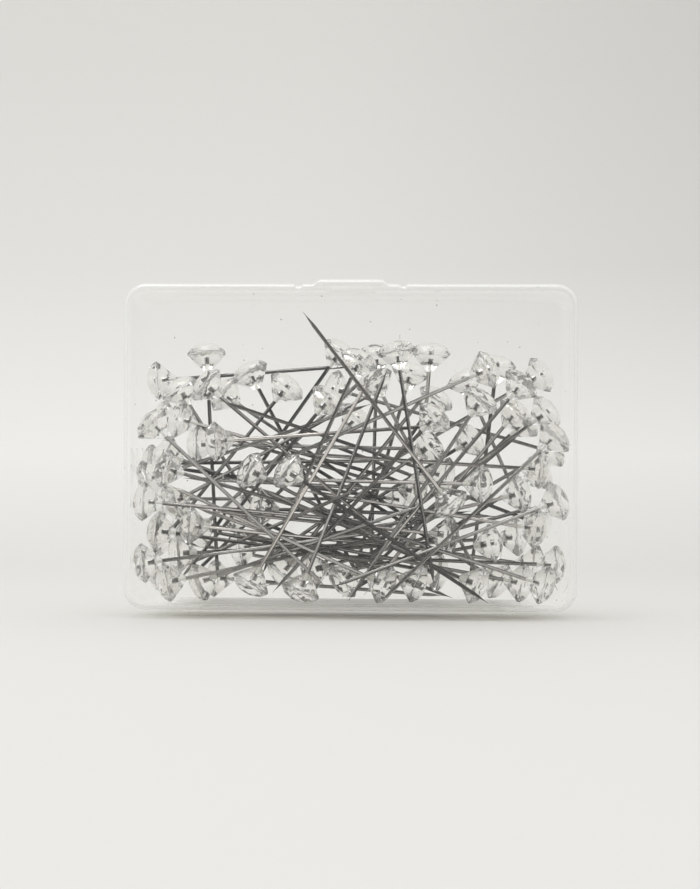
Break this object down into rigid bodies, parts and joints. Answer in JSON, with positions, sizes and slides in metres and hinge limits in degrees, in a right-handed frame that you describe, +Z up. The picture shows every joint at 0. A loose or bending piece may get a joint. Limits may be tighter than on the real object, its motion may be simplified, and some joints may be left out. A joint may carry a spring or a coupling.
{
  "type": "hinged case of diamond head pins",
  "caption": "Clear hinged case standing on its hinge edge, holding a heap of long steel pins that have faceted clear heads; the lid swings open to the front.",
  "frame": {"origin": "on the ground under the middle of the shut case", "axes": "+X along the case's width, +Y away from the lid towards the base, +Z up"},
  "size_m": [0.09, 0.022, 0.0674],
  "materials": {
    "case": "clear, smooth moulded",
    "head": "clear, faceted, polished",
    "shank": "bright plated"
  },
  "bodies": {
    "base": {"case_base": "case", "pin_head_01": "head", "pin_head_02": "head", "pin_head_03": "head", "pin_head_04": "head", "pin_head_05": "head", "pin_head_06": "head", "pin_head_07": "head", "pin_head_08": "head", "pin_head_09": "head", "pin_head_10": "head", "pin_head_11": "head", "pin_head_12": "head", "pin_head_13": "head", "pin_head_14": "head", "pin_head_15": "head", "pin_head_16": "head", "pin_head_17": "head", "pin_head_18": "head", "pin_head_19": "head", "pin_head_20": "head", "pin_head_21": "head", "pin_head_22": "head", "pin_head_23": "head", "pin_head_24": "head", "pin_head_25": "head", "pin_head_26": "head", "pin_head_27": "head", "pin_head_28": "head", "pin_head_29": "head", "pin_shank_01": "shank", "pin_shank_02": "shank", "pin_shank_03": "shank", "pin_shank_04": "shank", "pin_shank_05": "shank", "pin_shank_06": "shank", "pin_shank_07": "shank", "pin_shank_08": "shank", "pin_shank_09": "shank", "pin_shank_10": "shank", "pin_shank_11": "shank", "pin_shank_12": "shank", "pin_shank_13": "shank", "pin_shank_14": "shank", "pin_shank_15": "shank", "pin_shank_16": "shank", "pin_shank_17": "shank", "pin_shank_18": "shank", "pin_shank_19": "shank", "pin_shank_20": "shank", "pin_shank_21": "shank", "pin_shank_22": "shank", "pin_shank_23": "shank", "pin_shank_24": "shank", "pin_shank_25": "shank", "pin_shank_26": "shank", "pin_shank_27": "shank", "pin_shank_28": "shank", "pin_shank_29": "shank"},
    "lid": {"case_lid": "case"}
  },
  "joints": [
    {"name": "lid_hinge", "type": "hinge", "parent": "base", "child": "lid", "pos_m": [0, -0.0005, 0.001], "axis": [1, 0, 0], "range_deg": [0, 140]}
  ]
}
